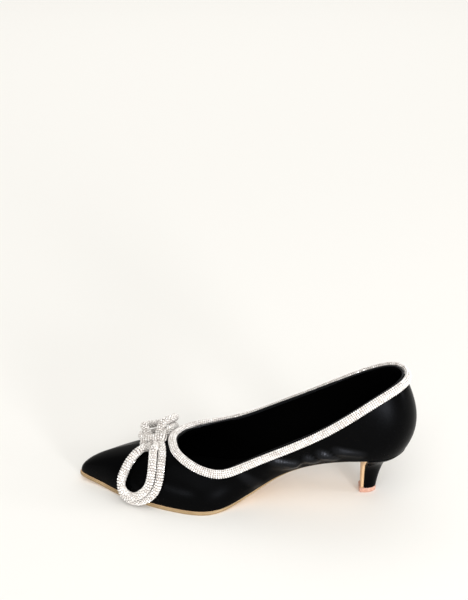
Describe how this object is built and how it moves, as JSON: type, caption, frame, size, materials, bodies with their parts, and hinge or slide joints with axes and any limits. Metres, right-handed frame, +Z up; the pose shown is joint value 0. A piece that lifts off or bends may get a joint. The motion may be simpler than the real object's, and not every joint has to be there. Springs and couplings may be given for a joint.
{
  "type": "kitten heel pump",
  "caption": "Left pointed-toe satin pump on a low kitten heel, with a crystal tube round the topline and a crystal tube bow on the vamp.",
  "frame": {"origin": "on the floor under the middle of the shoe's bounding box", "axes": "+X from the heel to the toe, +Y to the outer side of the left foot, +Z up"},
  "size_m": [0.2476, 0.0852, 0.0993],
  "materials": {
    "satin": "black satin with a soft sheen",
    "lining": "matt black lining and sock",
    "tan": "smooth tan sole leather",
    "tip": "pinkish tan polyurethane",
    "crystal": "tube netted in small clear and silver stones"
  },
  "bodies": {
    "root": {"upper": "satin", "insole": "lining", "outsole": "tan", "heel": "satin", "top_piece": "tip", "topline_piping": "crystal", "bow_outer_loop_lateral": "crystal", "bow_inner_loop_lateral": "crystal", "bow_outer_loop_medial": "crystal", "bow_inner_loop_medial": "crystal", "bow_knot": "crystal"}
  },
  "joints": []
}
